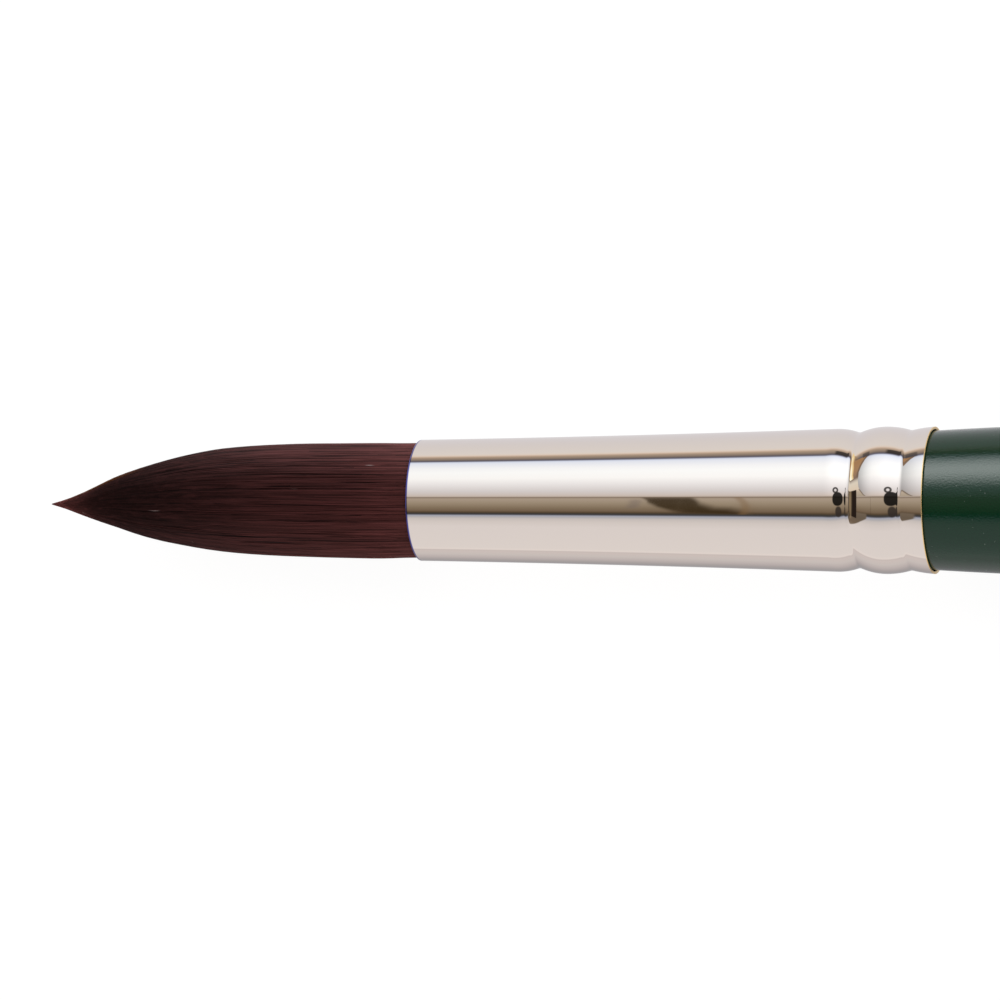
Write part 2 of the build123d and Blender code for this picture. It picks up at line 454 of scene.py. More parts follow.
def store_value(piece, name, values):
    """Keeps one value for each ring of each filament on the points of the mesh."""
    store = piece.data.attributes.new(name, "FLOAT", "POINT")
    store.data.foreach_set("value", np.repeat(values.ravel(), SIDES).astype(np.float32))


def store_outward(piece, around):
    """Keeps the direction away from the middle of the bundle on the points of the mesh."""
    store = piece.data.attributes.new("outward", "FLOAT_VECTOR", "POINT")
    outward = np.stack((np.zeros_like(around), np.cos(around), np.sin(around)), -1)
    outward = np.repeat(outward.reshape(-1, 3), SIDES, axis=0)
    store.data.foreach_set("vector", outward.ravel().astype(np.float32))


def make_filaments(name, number, depth, jitter, width, end_scale):
    """Tapered filaments laid on the tuft at a share `depth` of its radius."""
    angle = (np.arange(number) + rng.uniform(-STAGGER, STAGGER, number)) * 2 * np.pi / number
    layer = depth + rng.uniform(-jitter, jitter, number)
    ends = np.clip(rng.exponential(end_scale, number), 0.0, LAST_END)
    reach = filament_reaches(ends)
    body = body_radius(reach)
    thick = filament_widths(width, reach, ends, body)
    walk = reach / TUFT_OUT
    loose = np.clip((TUFT_OUT + 0.5 - reach) / LOOSE_LENGTH, 0, 1)
    around = angle[:, None] + loose * filament_wander(walk)
    slit = slit_depth(around, reach)
    share = layer[:, None] + loose * ripple(angle[:, None], walk, LOCK_WAVES)
    rho = np.maximum(body * share - 0.5 * thick - SLIT_DEEP * slit, 0.0)
    hang = along_tuft(DROOP, np.clip(reach, 0, TUFT_OUT)) * (reach < TUFT_OUT)
    centre = np.stack((POINT + reach, rho * np.cos(around) + hang, rho * np.sin(around)), -1)
    piece = lay_tubes(name, centre, around, thick)
    clump = ripple(angle, 0.0, CLUMP_WAVES)
    # painted shade: the tone is lowered in the narrow gaps between the locks
    tone = np.clip(0.5 + clump + rng.normal(0, 0.20, number), 0, 1)[:, None] - slit
    lint = (rng.uniform(0, 1, reach.shape) < LINT_SHARE) & (reach < TUFT_OUT)
    store_value(piece, "tone", np.where(lint, LINT_TONE, tone))
    store_value(piece, "reach", reach)
    store_outward(piece, around)
    return piece


def make_heart():
    """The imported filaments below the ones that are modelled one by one."""
    deep = (TUFT_OUT + DRAW_LENGTH, ROOT - POINT)
    reach = np.concatenate((np.linspace(HEART_START, TUFT_OUT, 90), deep))
    radius = np.maximum(body_radius(reach) * HEART_SHARE - HEART_SINK, 0.01)
    line = np.concatenate((np.stack((POINT + reach, radius), 1), [(ROOT, 0.01)]))
    piece = lathe("tuft_heart", line, HEART_SEGMENTS)
    places = np.empty(len(piece.data.vertices) * 3, np.float32)
    piece.data.vertices.foreach_get("co", places)
    places = places.reshape(-1, 3)
    behind = np.clip(places[:, 0] / MM - POINT, 0, TUFT_OUT)
    places[:, 1] += along_tuft(DROOP, behind) * MM * (places[:, 0] / MM < MOUTH)
    piece.data.vertices.foreach_set("co", places.ravel())
    return piece


skin = smooth_line(ferrule_skin(), SKIN_STEP, SKIN_ROUND)
ferrule = make_ferrule(skin)
handle = make_handle(skin)
heart = make_heart()
ride(heart, "filament", "core_filaments")
under = make_filaments("tuft_under", *UNDER)
ride(under, "filament", "belly_filaments")
middle = make_filaments("tuft_middle", *MIDDLE)
ride(middle, "filament")
outer = make_filaments("tuft_outer", *OUTER)
ride(outer, "filament", "outer_filaments")


# ------------------------------------------------------------------ node trees
class Nodes:
    """Short hand for building a node tree."""

    def __init__(self, tree):
        self.tree = tree
        tree.nodes.clear()

    def add(self, kind, inputs=None, **settings):
        """A node with its settings, and with sockets or values on its inputs."""
        node = self.tree.nodes.new(kind)
        for key, value in settings.items():
            setattr(node, key, value)
        for key, value in (inputs or {}).items():
            self.put(node.inputs[key], value)
        return node

    def put(self, socket, value):
        """Links a socket to an input or sets the input's value.  Colours are opaque."""
        if isinstance(value, bpy.types.NodeSocket):
            self.tree.links.new(value, socket)
        elif socket.type == "RGBA":
            socket.default_value = (*value, 1.0)
        elif value is not None:
            socket.default_value = value

    def math(self, operation, a, b=None, clamp=False):
        node = self.add("ShaderNodeMath", operation=operation, use_clamp=clamp)
        self.put(node.inputs[0], a)
        self.put(node.inputs[1], b)
        return node.outputs[0]

    def total(self, first, *others):
        for value in others:
            first = self.math("ADD", first, value)
        return first

    def product(self, first, *others):
        for value in others:
            first = self.math("MULTIPLY", first, value)
        return first

    def scaled(self, colour, factor):
        node = self.add("ShaderNodeVectorMath", {0: colour, 3: factor}, operation="SCALE")
        return node.outputs[0]

    def remap(self, value, low, high, out_low=0.0, out_high=1.0, kind="SMOOTHSTEP"):
        """The value taken from one range to another, and held at its ends."""
        node = self.add("ShaderNodeMapRange", interpolation_type=kind)
        for i, item in enumerate((value, low, high, out_low, out_high)):
            self.put(node.inputs[i], item)
        return node.outputs[0]

    def linear(self, value, low, high, out_low=0.0, out_high=1.0):
        return self.remap(value, low, high, out_low, out_high, "LINEAR")

    def rise(self, value, at, soft):
        """0 below a value and 1 above it, with a soft step."""
        return self.remap(value, at - soft, at + soft)

    def fall(self, value, at, soft):
        """1 below a value and 0 above it, with a soft step."""
        return self.remap(value, at - soft, at + soft, 1.0, 0.0)

    def span(self, value, low, high, soft):
        """1 between two values and 0 outside, with soft ends.  None leaves a side open."""
        if low is None:
            return self.fall(value, high, soft)
        if high is None:
            return self.rise(value, low, soft)
        return self.product(self.rise(value, low, soft), self.fall(value, high, soft))

    def mix(self, factor, a, b):
        node = self.add("ShaderNodeMix", {0: factor, 6: a, 7: b}, data_type="RGBA")
        return node.outputs[2]

    def object_place(self):
        return self.add("ShaderNodeTexCoord").outputs["Object"]

    def noise(self, vector, scale, detail, roughness=0.5):
        inputs = {"Vector": vector, "Scale": scale, "Detail": detail, "Roughness": roughness}
        return self.add("ShaderNodeTexNoise", inputs).outputs["Fac"]

    def streaks(self, scale, detail, roughness=0.5):
        """Noise with its own scale along each axis, in cells to the metre."""
        inputs = {"Vector": self.object_place(), "Scale": scale}
        place = self.add("ShaderNodeMapping", inputs).outputs[0]
        return self.noise(place, 1.0, detail, roughness)

    def ramp(self, value, low, high, stops):
        """Colours at stops between two values."""
        node = self.add("ShaderNodeValToRGB", {"Fac": self.linear(value, low, high)})
        elements = node.color_ramp.elements
        while len(elements) < len(stops):
            elements.new(0.5)
        for element, (at, colour) in zip(elements, stops):
            element.position = (at - low) / (high - low)
            element.color = (*colour, 1.0)
        return node.outputs["Color"]

    def line(self, value, points, out_low, out_high):
        """Straight lines through (value, out) points, with outs between two limits."""
        low = points[0][0]
        high = points[-1][0]
        node = self.add("ShaderNodeFloatCurve", {"Value": self.linear(value, low, high)})
        curve = node.mapping.curves[0]
        reach = out_high - out_low
        places = [((at - low) / (high - low), (out - out_low) / reach) for at, out in points]
        curve.points[0].location = places[0]
        curve.points[1].location = places[-1]
        for place in places[1:-1]:
            curve.points.new(*place)
        for point in curve.points:
            point.handle_type = "VECTOR"
        node.mapping.update()
        return self.linear(node.outputs[0], 0.0, 1.0, out_low, out_high)

    def bump(self, height, strength, distance, normal=None):
        inputs = {"Height": height, "Strength": strength, "Distance": distance}
        if normal is not None:
            inputs["Normal"] = normal
        return self.add("ShaderNodeBump", inputs).outputs[0]

    def principled(self, inputs):
        shader = self.add("ShaderNodeBsdfPrincipled", inputs).outputs[0]
        self.add("ShaderNodeOutputMaterial", {"Surface": shader})


def material(name):
    made = bpy.data.materials.new(name)
    made.use_nodes = True
    return made, Nodes(made.node_tree)


def wear(piece, made):
    piece.data.materials.clear()
    piece.data.materials.append(made)


def wear_inside(node_name, made):
    """Gives a hidden CAD node its finish."""
    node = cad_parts[node_name]
    if not node.data.materials:
        node.data.materials.append(made)
    for slot in node.material_slots:
        slot.material = made


# ------------------------------------------------------------------ finishes
NICKEL = (0.66, 0.61, 0.56)
BRASS = (0.80, 0.58, 0.26)
# painted shade along the ferrule's mouth edge, in dark blue
MOUTH_SHADE_BLUE = (0.05, 0.05, 0.24)
GREEN_DEEP = (0.0002, 0.023, 0.0085)
GREEN_PALE = (0.0003, 0.030, 0.0115)
SPECK = (0.12, 0.15, 0.13)
LACQUER_TINT = (0.90, 1.0, 0.97)
WOOD_DARK = (0.42, 0.26, 0.13)
WOOD_PALE = (0.62, 0.43, 0.25)
BLACK = (0.0, 0.0, 0.0)
DYE_DARK = (0.012, 0.0022, 0.0020)
DYE_PALE = (0.160, 0.047, 0.044)
DYE_STREAK = (0.170, 0.050, 0.048)
# painted light on the filaments: a grey sheen towards the flanks and an amber glow near the point
PAINTED_SHEEN_GREY = (0.20, 0.17, 0.17)
PAINTED_TIP_GLOW = (0.15, 0.050, 0.012)
LINT = (0.42, 0.32, 0.31)
SHEEN_TINT = (0.90, 0.95, 1.0)
HEART_DARK = (0.020, 0.004, 0.004)
HEART_PALE = (0.060, 0.013, 0.012)

# Places from an end of the ferrule and how softly things change there, in millimetres: the worn
# rear lip, the band of painted shade at the mouth, and where the handle's wood is bare
REAR_WEAR = (0.08, 0.03)
MOUTH_SHADE_BAND = (0.15, 0.06)
BARE_DEPTH = 0.2

# How light the filaments are made, by the distance behind the point
LIGHTNESS_BY_REACH = (
    (0.0, 0.95),
    (1.02, 0.86),
    (3.65, 0.42),
    (5.51, 0.20),
    (8.9, 0.14),
    (12.3, 0.17),
    (16.96, 0.23),
    (22.47, 0.33),
    (28.41, 0.45),
    (33.92, 0.54),
    (39.01, 0.68),
    (42.4, 0.74),
)


def nickel():
    """Bright nickel over brass, which shows where the tube's rear lip is worn, with painted shade
    in dark blue along the mouth's edge.
    """
    made, n = material("nickel_plate")
    place = n.object_place()
    x = n.add("ShaderNodeSeparateXYZ", {"Vector": place}).outputs[0]
    worn = n.rise(x, (REAR - REAR_WEAR[0]) * MM, REAR_WEAR[1] * MM)
    # painted shade: a dark blue band along the mouth's edge stands for the shadow where the tuft
    # meets the ferrule
    rim = n.fall(x, (MOUTH + MOUTH_SHADE_BAND[0]) * MM, MOUTH_SHADE_BAND[1] * MM)
    colour = n.mix(worn, NICKEL, BRASS)
    colour = n.mix(rim, colour, MOUTH_SHADE_BLUE)
    smudge = n.noise(place, 330.0, 5.0, 0.6)
    rough = n.remap(smudge, 0.45, 0.75, 0.008, 0.020)
    rough = n.math("MAXIMUM", rough, n.product(worn, 0.35))
    n.principled({"Base Color": colour, "Metallic": 1.0, "Roughness": rough})
    return made


def lacquer():
    """Dark green gloss lacquer with a little orange peel, and bare wood in the ferrule."""
    made, n = material("green_lacquer")
    place = n.object_place()
    green = n.mix(n.streaks((25.0, 160.0, 160.0), 3.0), GREEN_DEEP, GREEN_PALE)
    green = n.mix(n.remap(n.noise(place, 3600.0, 2.0), 0.735, 0.78), green, SPECK)
    wood = n.mix(n.streaks((60.0, 1400.0, 1400.0), 4.0), WOOD_DARK, WOOD_PALE)
    x = n.add("ShaderNodeSeparateXYZ", {"Vector": place}).outputs[0]
    bare = n.math("LESS_THAN", x, (REAR - BARE_DEPTH) * MM)
    peel = n.bump(n.streaks((700.0, 1100.0, 1100.0), 4.0, 0.6), 0.08, 0.0001)
    grit = n.bump(n.streaks((4600.0, 5200.0, 5200.0), 2.0), 1.0, 0.000016, peel)
    inputs = {"Base Color": n.mix(bare, green, wood), "Roughness": 0.10, "Normal": grit}
    inputs["IOR"] = 1.40
    inputs["Specular Tint"] = LACQUER_TINT
    n.principled(inputs)
    return made


def filament_finish():
    """Dyed nylon, red-brown, with painted light: lighter, greyer flanks, and amber where light
    comes through the fine tips.
    """
    made, n = material("dyed_filament")
    tone = n.add("ShaderNodeAttribute", attribute_name="tone").outputs["Fac"]
    reach = n.add("ShaderNodeAttribute", attribute_name="reach").outputs["Fac"]
    outward = n.add("ShaderNodeAttribute", attribute_name="outward").outputs["Vector"]
    to_left = n.add("ShaderNodeSeparateXYZ", {"Vector": outward}).outputs[1]
    colour = n.mix(tone, DYE_DARK, DYE_PALE)
    streak = n.remap(n.streaks((90.0, 2600.0, 2600.0), 3.0), 0.45, 0.75)
    colour = n.mix(streak, colour, DYE_STREAK)
    colour = n.mix(n.line(reach, LIGHTNESS_BY_REACH, 0.0, 1.0), BLACK, colour)

    # painted light: the filaments are made lighter and greyer towards both flanks, most on the +Y
    # side that faces the soft box, with a painted grey sheen
    left = n.remap(to_left, 0.32, 1.05)
    right = n.remap(to_left, -1.0, -0.05, 1.0, 0.0)
    right = n.product(right, n.remap(reach, 8.0, 38.0, 1.0, 0.35))
    colour = n.scaled(colour, n.total(n.product(left, 1.1), right, 1.06))
    painted_sheen = n.product(n.total(left, n.product(right, 0.5)), 0.11)
    painted_sheen = n.product(painted_sheen, n.remap(reach, 6.0, 26.0, 0.15, 1.0))
    colour = n.mix(painted_sheen, colour, PAINTED_SHEEN_GREY)
    # painted light: amber on the +Y flank near the point, where light comes through the fine tips
    lit = n.product(n.remap(to_left, 0.80, 0.98), n.remap(reach, 6.0, 12.0, 1.0, 0.0))
    colour = n.mix(lit, colour, PAINTED_TIP_GLOW)
    colour = n.mix(n.remap(tone, 1.1, LINT_TONE), colour, LINT)

    # each filament is shaded partly as itself and partly as the bundle that it lies on
    own = n.add("ShaderNodeNewGeometry").outputs["Normal"]
    facing = n.add("ShaderNodeMix", {0: 0.6, 4: own, 5: outward}, data_type="VECTOR").outputs[1]
    facing = n.add("ShaderNodeVectorMath", {0: facing}, operation="NORMALIZE").outputs[0]
    inputs = {"Base Color": colour, "Roughness": 0.45, "Normal": facing}
    inputs["Specular IOR Level"] = 0.05
    inputs["Sheen Weight"] = 0.22
    inputs["Sheen Roughness"] = 0.18
    inputs["Sheen Tint"] = SHEEN_TINT
    n.principled(inputs)
    return made


def grained(name, low, high, scale, roughness, strength=0.3):
    """A plain finish in two tones with a slight relief."""
    made, n = material(name)
    grain = n.streaks(scale, 3.0)
    relief = n.bump(grain, strength, 0.0001)
    n.principled({"Base Color": n.mix(grain, low, high), "Roughness": roughness, "Normal": relief})
    return made


THREAD = ((0.50, 0.45, 0.36), (0.80, 0.75, 0.64), (7000.0, 900.0, 900.0), 0.85)
RESIN = ((0.42, 0.22, 0.05), (0.62, 0.38, 0.12), (300.0, 300.0, 300.0), 0.2)
GLUE = ((0.70, 0.62, 0.42), (0.85, 0.80, 0.64), (500.0, 500.0, 500.0), 0.55)

wear(ferrule, nickel())
wear(handle, lacquer())
filament = filament_finish()
for layer in (under, middle, outer):
    wear(layer, filament)
wear(heart, grained("packed_filament", HEART_DARK, HEART_PALE, (60.0, 5200.0, 5200.0), 0.5, 0.4))
wear_inside("tie_thread", grained("binding_thread", *THREAD))
wear_inside("root_resin", grained("amber_resin", *RESIN))
wear_inside("tenon_glue", grained("wood_glue", *GLUE))

# ------------------------------------------------------------------ floor
FLOOR_HALF = 3.0
FLOOR_GLOW = 0.93  # what the camera sees of the floor besides the light that falls on it
FLOOR_SEEN = (0.14, 0.14, 0.14)
FLOOR_PALE = (0.8, 0.8, 0.8)  # what the floor is for the light
WHITE = (1.0, 1.0, 1.0)


def make_floor():
    """A pale floor that keeps the brush's shadow."""
    corners = np.array([(-1, -1, 0), (1, -1, 0), (1, 1, 0), (-1, 1, 0)])
    floor = new_object("studio_floor", corners * FLOOR_HALF, [(0, 1, 2, 3)], smooth=False)
    floor.location.z = handle_low.z
    floor.visible_glossy = False
    floor.visible_transmission = False
    made, n = material("studio_floor")
    matt = n.add("ShaderNodeBsdfDiffuse", {"Color": FLOOR_SEEN})
    glow = n.add("ShaderNodeEmission", {"Color": WHITE, "Strength": FLOOR_GLOW})
    seen = n.add("ShaderNodeAddShader", {0: matt.outputs[0], 1: glow.outputs[0]})
    pale = n.add("ShaderNodeBsdfDiffuse", {"Color": FLOOR_PALE})
    camera_ray = n.add("ShaderNodeLightPath").outputs["Is Camera Ray"]
    inputs = {0: camera_ray, 1: pale.outputs[0], 2: seen.outputs[0]}
    shown = n.add("ShaderNodeMixShader", inputs)
    n.add("ShaderNodeOutputMaterial", {"Surface": shown.outputs[0]})
    wear(floor, made)


make_floor()

# ------------------------------------------------------------------ studio
# The studio's soft boxes, cards and gaps are long and run beside the brush, so the world is
# painted by two angles in degrees: the turn round X, from straight up (0) to the left (+90) and to
# the right (-90), and the tilt along X, from the point's side (-90) to the tail's (+90).  Colours
# are the light that comes from there.
STUDIO_STRENGTH = 2.0  # ramps hold no more than 1, so the light is divided by this and regained
RIGHT_HALF = (
    (-180.0, (0.54, 0.52, 0.54)),
    (-158.0, (0.43, 0.42, 0.44)),
    (-146.0, (0.54, 0.51, 0.53)),
    (-133.0, (0.72, 0.67, 0.69)),
    (-121.0, (0.85, 0.81, 0.82)),
    (-110.0, (0.90, 0.83, 0.84)),
    (-107.5, (0.84, 0.78, 0.79)),
    (-104.5, (1.12, 1.06, 1.06)),
    (-99.0, (1.06, 1.02, 1.03)),
    (-50.0, (1.04, 1.00, 1.02)),
    (-40.0, (0.96, 0.92, 0.93)),
    (-34.0, (0.85, 0.82, 0.84)),
    (-32.0, (0.71, 0.71, 0.76)),
    (-30.0, (0.60, 0.63, 0.73)),
    (-28.4, (0.56, 0.61, 0.76)),
    (-27.2, (0.24, 0.26, 0.34)),
    (-25.8, (0.07, 0.07, 0.08)),
    (-23.8, (0.08, 0.07, 0.06)),
    (-22.0, (0.14, 0.10, 0.06)),
    (-19.0, (0.26, 0.19, 0.13)),
    (-14.0, (0.33, 0.26, 0.18)),
    (-9.0, (0.42, 0.34, 0.25)),
    (-4.0, (0.50, 0.42, 0.32)),
    (0.0, (0.56, 0.47, 0.38)),
)
LEFT_HALF = (
    (0.0, (0.56, 0.47, 0.38)),
    (3.0, (0.58, 0.49, 0.40)),
    (4.6, (0.36, 0.29, 0.23)),
    (5.4, (0.36, 0.29, 0.23)),
    (6.8, (0.80, 0.71, 0.66)),
    (9.0, (0.90, 0.83, 0.81)),
    (16.0, (0.98, 0.97, 1.02)),
    (29.0, (1.24, 1.27, 1.35)),
    (41.0, (1.46, 1.53, 1.61)),
    (53.0, (1.47, 1.57, 1.67)),
    (62.0, (1.38, 1.47, 1.60)),
    (73.0, (1.15, 1.27, 1.50)),
    (75.2, (1.00, 1.14, 1.44)),
    (76.6, (0.74, 0.82, 1.04)),
    (77.8, (0.20, 0.21, 0.32)),
    (80.2, (0.20, 0.18, 0.19)),
    (82.5, (0.36, 0.29, 0.25)),
    (85.5, (0.50, 0.40, 0.32)),
    (88.0, (0.64, 0.50, 0.39)),
    (90.5, (0.92, 0.74, 0.62)),
    (93.0, (1.08, 0.98, 0.90)),
    (97.0, (1.04, 1.00, 0.99)),
    (140.0, (0.92, 0.90, 0.95)),
    (180.0, (0.80, 0.78, 0.80)),
)
# The room past the far end of the soft box and past the card, by turn
ROOM = (
    (-60.0, (0.40, 0.33, 0.26)),
    (-45.0, (0.24, 0.18, 0.13)),
    (-30.0, (0.20, 0.16, 0.12)),
    (-22.0, (0.24, 0.19, 0.14)),
    (-12.0, (0.40, 0.33, 0.25)),
    (4.0, (0.55, 0.48, 0.38)),
    (16.0, (0.74, 0.64, 0.53)),
    (20.0, (1.06, 0.92, 0.76)),
    (34.0, (1.06, 1.00, 0.87)),
    (38.0, (0.82, 0.76, 0.68)),
    (43.0, (0.32, 0.24, 0.20)),
    (50.0, (0.46, 0.30, 0.19)),
    (60.0, (0.55, 0.34, 0.19)),
    (76.0, (0.55, 0.32, 0.16)),
    (90.0, (0.55, 0.42, 0.30)),
    (100.0, (0.85, 0.80, 0.72)),
)
ROOM_FLOOR_DARK = (1.24, 0.96, 0.50)
ROOM_FLOOR_LIT = (1.52, 1.56, 1.32)
# Tilt of the soft box's far edge, by turn
BOX_EDGE = (
    (-180, -90),
    (6.5, -90),
    (7, -25),
    (9, -28.5),
    (12, -31),
    (16, -34),
    (20, -37),
    (24, -38.5),
    (36, -39.5),
    (44, -38.5),
    (52, -37.5),
    (56, -35.5),
    (60, -34),
    (64, -32),
    (68, -29.5),
    (72, -27),
    (76, -23.5),
    (78, -21),
    (79, -37),
    (88, -38),
    (96, -41),
    (112, -44),
    (180, -60),
)
BOX_FRAME = (0.22, 0.17, 0.14)
# How bright the soft box is, by tilt
BOX_GAIN = (
    (-90, 0.4),
    (-38, 0.50),
    (-34, 0.60),
    (-28, 0.76),
    (-22, 0.90),
    (-16, 1.0),
    (0, 1.12),
    (90, 1.12),
)
# Turn of the right-hand card's edge, by tilt
CARD_EDGE = (
    (-90, -66),
    (-52, -53),
    (-46.5, -48),
    (-40.5, -42.5),
    (-34.5, -37),
    (-28.5, -33),
    (-24, -30),
    (90, -30),
)
# Tilt past which the lit floor of the room begins, by turn
ROOM_FLOOR = (
    (-180, -80),
    (42, -80),
    (43, -47.5),
    (52, -48),
    (66, -45.5),
    (80, -44),
    (92, -40.5),
    (180, -40),
)
# Things that fill a box of turn and tilt: the turn they span and its softness, the tilt they span
# and its softness, how much they cover, and their light
TABLE = ((-34.0, 19.5, 1.0), (None, -42.5, 0.7), 1.0, (0.03, 0.02, 0.016))
PAST_TABLE = ((-40.0, 19.5, 2.0), (None, -53.5, 3.5), 1.0, (0.48, 0.36, 0.22))
BOX_GAP = ((79.0, 86.5, 1.0), (-1.5, None, 2.5), 0.9, (0.04, 0.036, 0.036))
LOW_GAP = ((76.5, 86.0, 1.5), (-30.0, -21.0, 1.0), 0.7, (0.08, 0.07, 0.07))
# The camera on its stand and the loop of its strap: turn and tilt of the middle, half the size,
# how square it is, which part of the oval is filled (0 in its middle, 1 on its edge) and how
# softly, how much it covers, and its light
STAND = ((-19.0, 14.0), (10.0, 6.5), 2.2, (None, 0.90, 0.18), 0.92, (0.05, 0.04, 0.036))
BODY = ((2.2, 13.0), (11.4, 10.0), 2.4, (None, 0.99, 0.07), 0.97, (0.008, 0.008, 0.008))
STRAP = ((16.4, 8.4), (4.6, 5.0), 2.0, (0.46, 1.10, 0.12), 0.92, (0.04, 0.036, 0.036))
# A dark swoop across the middle of the straight stretch: its upper and lower turn, by tilt
SWOOP_TILT = (-16.40, -15.83, 0.01)
SWOOP_TURN = (-24.0, 5.0, 0.4)
SWOOP_UPPER = (
    (-16.40, 6.0),
    (-16.16, 6.0),
    (-16.142, 3.0),
    (-16.11, -6.3),
    (-16.023, -13.8),
    (-15.947, -14.6),
    (-15.848, -21.4),
    (-15.82, -24.0),
)
SWOOP_LOWER = (
    (-16.40, 6.0),
    (-16.375, 0.5),
    (-16.363, -4.7),
    (-16.307, -11.7),
    (-16.218, -18.0),
    (-16.156, -21.9),
    (-15.82, -24.0),
)
SWOOP = (0.052, 0.032, 0.012)
SMEAR_TILT = (-15.933, -15.893, 0.014)
SMEAR_SLANT = 0.0032  # how much further the smear tilts with each degree of turn
SMEAR = (0.32, 0.20, 0.10)
SMUDGE = ((-14.0, 1.0, 4.0), (-16.455, -16.40, 0.02), 0.45, (0.24, 0.20, 0.20))


def held(light):
    """The light as the node tree holds it."""
    return tuple(value / STUDIO_STRENGTH for value in light)


class Studio:
    """The light of the studio by turn and tilt, painted layer over layer."""

    def __init__(self, nodes):
        self.n = nodes
        direction = nodes.add("ShaderNodeTexCoord").outputs["Generated"]
        x, y, z = nodes.add("ShaderNodeSeparateXYZ", {"Vector": direction}).outputs
        self.turn = nodes.math("DEGREES", nodes.math("ARCTAN2", y, z))
        self.tilt = nodes.math("DEGREES", nodes.math("ARCSINE", x))
        self.light = None

    def by_turn(self, low, high, stops):
        return self.n.ramp(self.turn, low, high, [(at, held(light)) for at, light in stops])

    def cover(self, share, light):
        """Paints over a share of what is there, with a named light or the socket of one."""
        if isinstance(light, tuple):
            light = held(light)
        self.light = self.n.mix(share, self.light, light)

    def patch(self, turn_span, tilt_span, share, light):
        spans = (self.n.span(self.turn, *turn_span), self.n.span(self.tilt, *tilt_span))
        self.cover(self.n.product(*spans, share), light)

    def oval(self, middle, half, power, filled, share, light):
        n = self.n
        measure = []
        for angle, at, size in zip((self.turn, self.tilt), middle, half):
            off = n.math("ABSOLUTE", n.math("DIVIDE", n.math("SUBTRACT", angle, at), size))
            measure.append(n.math("POWER", off, power))
        measure = n.math("POWER", n.total(*measure), 1.0 / power)
        self.cover(n.product(n.span(measure, *filled), share), light)

    def paint_boxes(self):
        """The soft boxes and cards on both sides."""
        n = self.n
        right = self.by_turn(-180.0, 0.0, RIGHT_HALF)
        left = self.by_turn(0.0, 180.0, LEFT_HALF)
        both = n.mix(n.math("GREATER_THAN", self.turn, 0.0), right, left)
        gain = n.math("SUBTRACT", n.line(self.tilt, BOX_GAIN, 0.0, 2.0), 1.0)
        gain = n.total(n.product(n.span(self.turn, 7.0, 77.5, 0.6), gain), 1.0)
        self.light = n.scaled(both, gain)

    def paint_room(self):
        """The room past the far ends of the soft box and the card."""
        n = self.n
        room = self.by_turn(-180.0, 180.0, ROOM)
        past_box = n.math("SUBTRACT", n.line(self.turn, BOX_EDGE, -90.0, 90.0), self.tilt)
        self.cover(n.rise(past_box, 0.0, 0.4), room)
        rim = n.product(n.span(past_box, -0.4, 1.8, 0.5), n.span(self.turn, 7.0, 20.0, 1.0), 0.75)
        foot = n.product(n.span(past_box, 0.0, 3.5, 0.8), n.span(self.turn, 44.0, 84.0, 3.0), 0.7)
        self.cover(n.math("MAXIMUM", rim, foot), BOX_FRAME)
        past_card = n.math("SUBTRACT", self.turn, n.line(self.tilt, CARD_EDGE, -180.0, 180.0))
        past_card = n.rise(past_card, 0.0, 1.5)
        reaches = (n.fall(self.turn, -22.0, 2.0), n.fall(self.tilt, -24.0, 2.0))
        self.cover(n.product(past_card, *reaches), room)
        past_floor = n.math("SUBTRACT", n.line(self.turn, ROOM_FLOOR, -90.0, 90.0), self.tilt)
        self.cover(n.remap(past_floor, -1.5, 0.8), ROOM_FLOOR_DARK)
        self.cover(n.remap(past_floor, 0.8, 4.0), ROOM_FLOOR_LIT)
        for thing in (TABLE, PAST_TABLE, BOX_GAP, LOW_GAP):
            self.patch(*thing)

    def paint_swoop(self):
        """The dark swoop, with a smear at one end of it and a smudge at the other."""
        n = self.n
        lower = n.line(self.tilt, SWOOP_LOWER, -30.0, 10.0)
        upper = n.line(self.tilt, SWOOP_UPPER, -30.0, 10.0)
        over = n.rise(n.math("SUBTRACT", self.turn, lower), 0.0, 3.0)
        under = n.rise(n.math("SUBTRACT", upper, self.turn), -0.5, 6.5)
        in_band = n.span(self.turn, *SWOOP_TURN)
        in_reach = n.span(self.tilt, *SWOOP_TILT)
        self.cover(n.product(over, under, in_reach, in_band, 0.91), SWOOP)
        slant = n.total(self.tilt, n.product(self.turn, SMEAR_SLANT))
        self.cover(n.product(n.span(slant, *SMEAR_TILT), in_band, 0.5), SMEAR)
        self.patch(*SMUDGE)


def make_world():
    """The painted studio, and plain white where the camera looks past the floor."""
    world = bpy.data.worlds.new("studio")
    bpy.context.scene.world = world
    world.use_nodes = True
    n = Nodes(world.node_tree)
    studio = Studio(n)
    studio.paint_boxes()
    studio.paint_room()
    for thing in (STAND, BODY, STRAP):
        studio.oval(*thing)
    studio.paint_swoop()
    back = n.add("ShaderNodeBackground", {"Color": studio.light, "Strength": STUDIO_STRENGTH})
    white = n.add("ShaderNodeBackground", {"Color": WHITE, "Strength": 1.0})
    camera_ray = n.add("ShaderNodeLightPath").outputs["Is Camera Ray"]
    shown = n.add("ShaderNodeMixShader", {0: camera_ray, 1: back.outputs[0], 2: white.outputs[0]})
    n.add("ShaderNodeOutputWorld", {"Surface": shown.outputs[0]})


make_world()

# ------------------------------------------------------------------ lamp
# The lamp in the soft box is far brighter than the cards.  Only the lacquer takes its gleam,
# because on the nickel it would only clip.
TARGET_X = -0.07875  # the middle of the picture
LAMP_TURN = math.radians(50.5)
LAMP_FAR = 0.60
LAMP_LONG = 0.90
LAMP_WIDE = 0.74
LAMP_RADIANCE = 6.2
LAMP_TINT = (1.08, 1.0, 1.02)


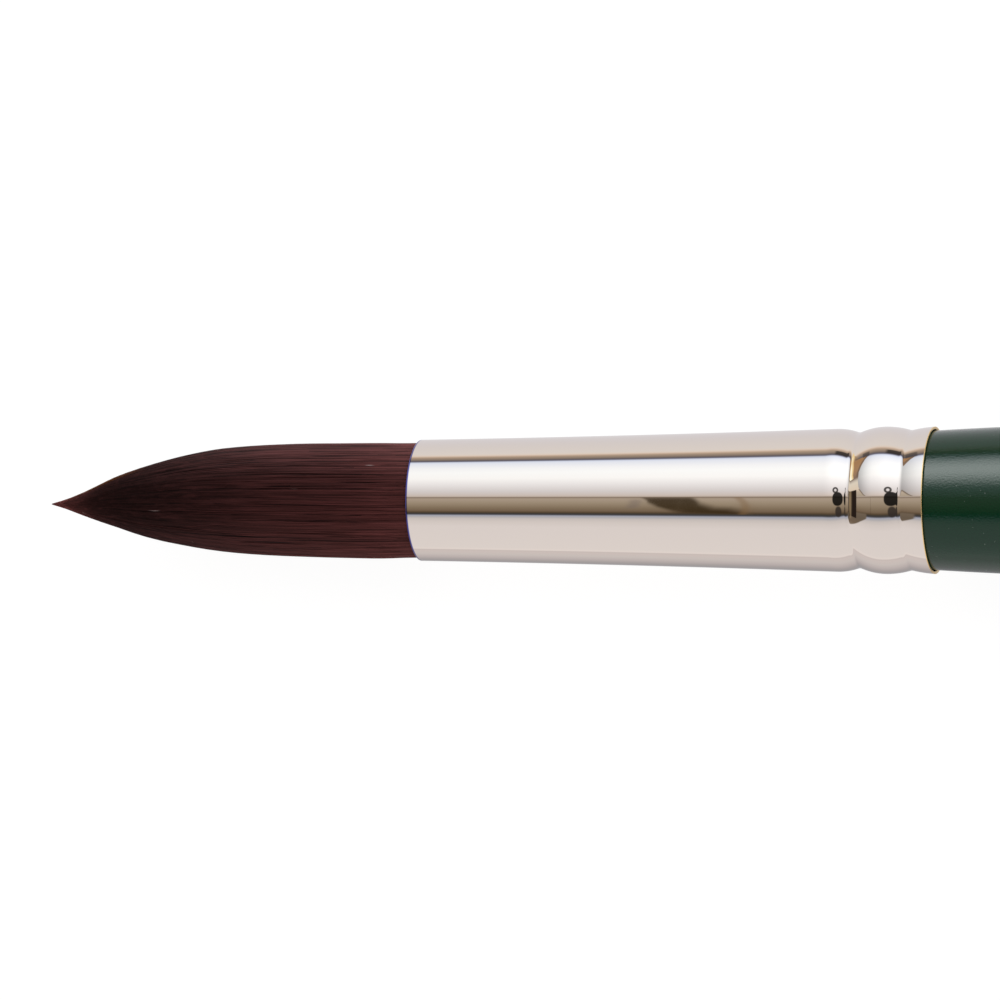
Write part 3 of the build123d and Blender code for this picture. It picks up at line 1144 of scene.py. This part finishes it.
def put_facing(thing, side, up, back, place):
    """Puts a lamp or a camera in its place, turned by its axes, of which `back` is behind it."""
    pose = Matrix((side, up, back)).transposed().to_4x4()
    pose.translation = place
    thing.matrix_world = pose
    bpy.context.scene.collection.objects.link(thing)


def make_lamp():
    """A long lamp that is brightest along its middle."""
    data = bpy.data.lights.new("soft_box_lamp", "AREA")
    data.shape = "RECTANGLE"
    data.size = LAMP_LONG
    data.size_y = LAMP_WIDE
    data.energy = LAMP_RADIANCE * math.pi * LAMP_LONG * LAMP_WIDE
    data.use_nodes = True
    n = Nodes(data.node_tree)
    spot = n.add("ShaderNodeNewGeometry").outputs["Parametric"]
    across = n.add("ShaderNodeSeparateXYZ", {"Vector": spot}).outputs[1]
    off_middle = n.product(n.math("ABSOLUTE", n.math("SUBTRACT", across, 0.5)), 2.0)
    strength = n.remap(off_middle, 0.0, 1.0, 1.0, 0.0)
    glow = n.add("ShaderNodeEmission", {"Color": LAMP_TINT, "Strength": strength})
    n.add("ShaderNodeOutputLight", {"Surface": glow.outputs[0]})
    lamp = bpy.data.objects.new("soft_box_lamp", data)
    toward = Vector((0.0, math.sin(LAMP_TURN), math.cos(LAMP_TURN)))
    along = Vector((1.0, 0.0, 0.0))
    put_facing(lamp, along, toward.cross(along), toward, TARGET_X * along + LAMP_FAR * toward)
    lamp.visible_camera = False
    lamp.visible_diffuse = False
    receivers = bpy.data.collections.new("takes_lamp_gleam")
    receivers.objects.link(handle)
    lamp.light_linking.receiver_collection = receivers


make_lamp()

# ------------------------------------------------------------------ camera
CAMERA_YAW = math.radians(15.0)
CAMERA_FAR = 0.648
TARGET = Vector((TARGET_X, 0.00003, 0.0))
LENS = 216.0
SENSOR = 36.0


def make_camera():
    data = bpy.data.cameras.new("camera")
    data.lens = LENS
    data.sensor_width = SENSOR
    camera = bpy.data.objects.new("camera", data)
    back = Vector((math.sin(CAMERA_YAW), 0.0, math.cos(CAMERA_YAW)))
    side = Vector((math.cos(CAMERA_YAW), 0.0, -math.sin(CAMERA_YAW)))
    put_facing(camera, side, Vector((0.0, 1.0, 0.0)), back, TARGET + CAMERA_FAR * back)
    bpy.context.scene.camera = camera


make_camera()
bpy.context.scene.view_settings.view_transform = "Standard"
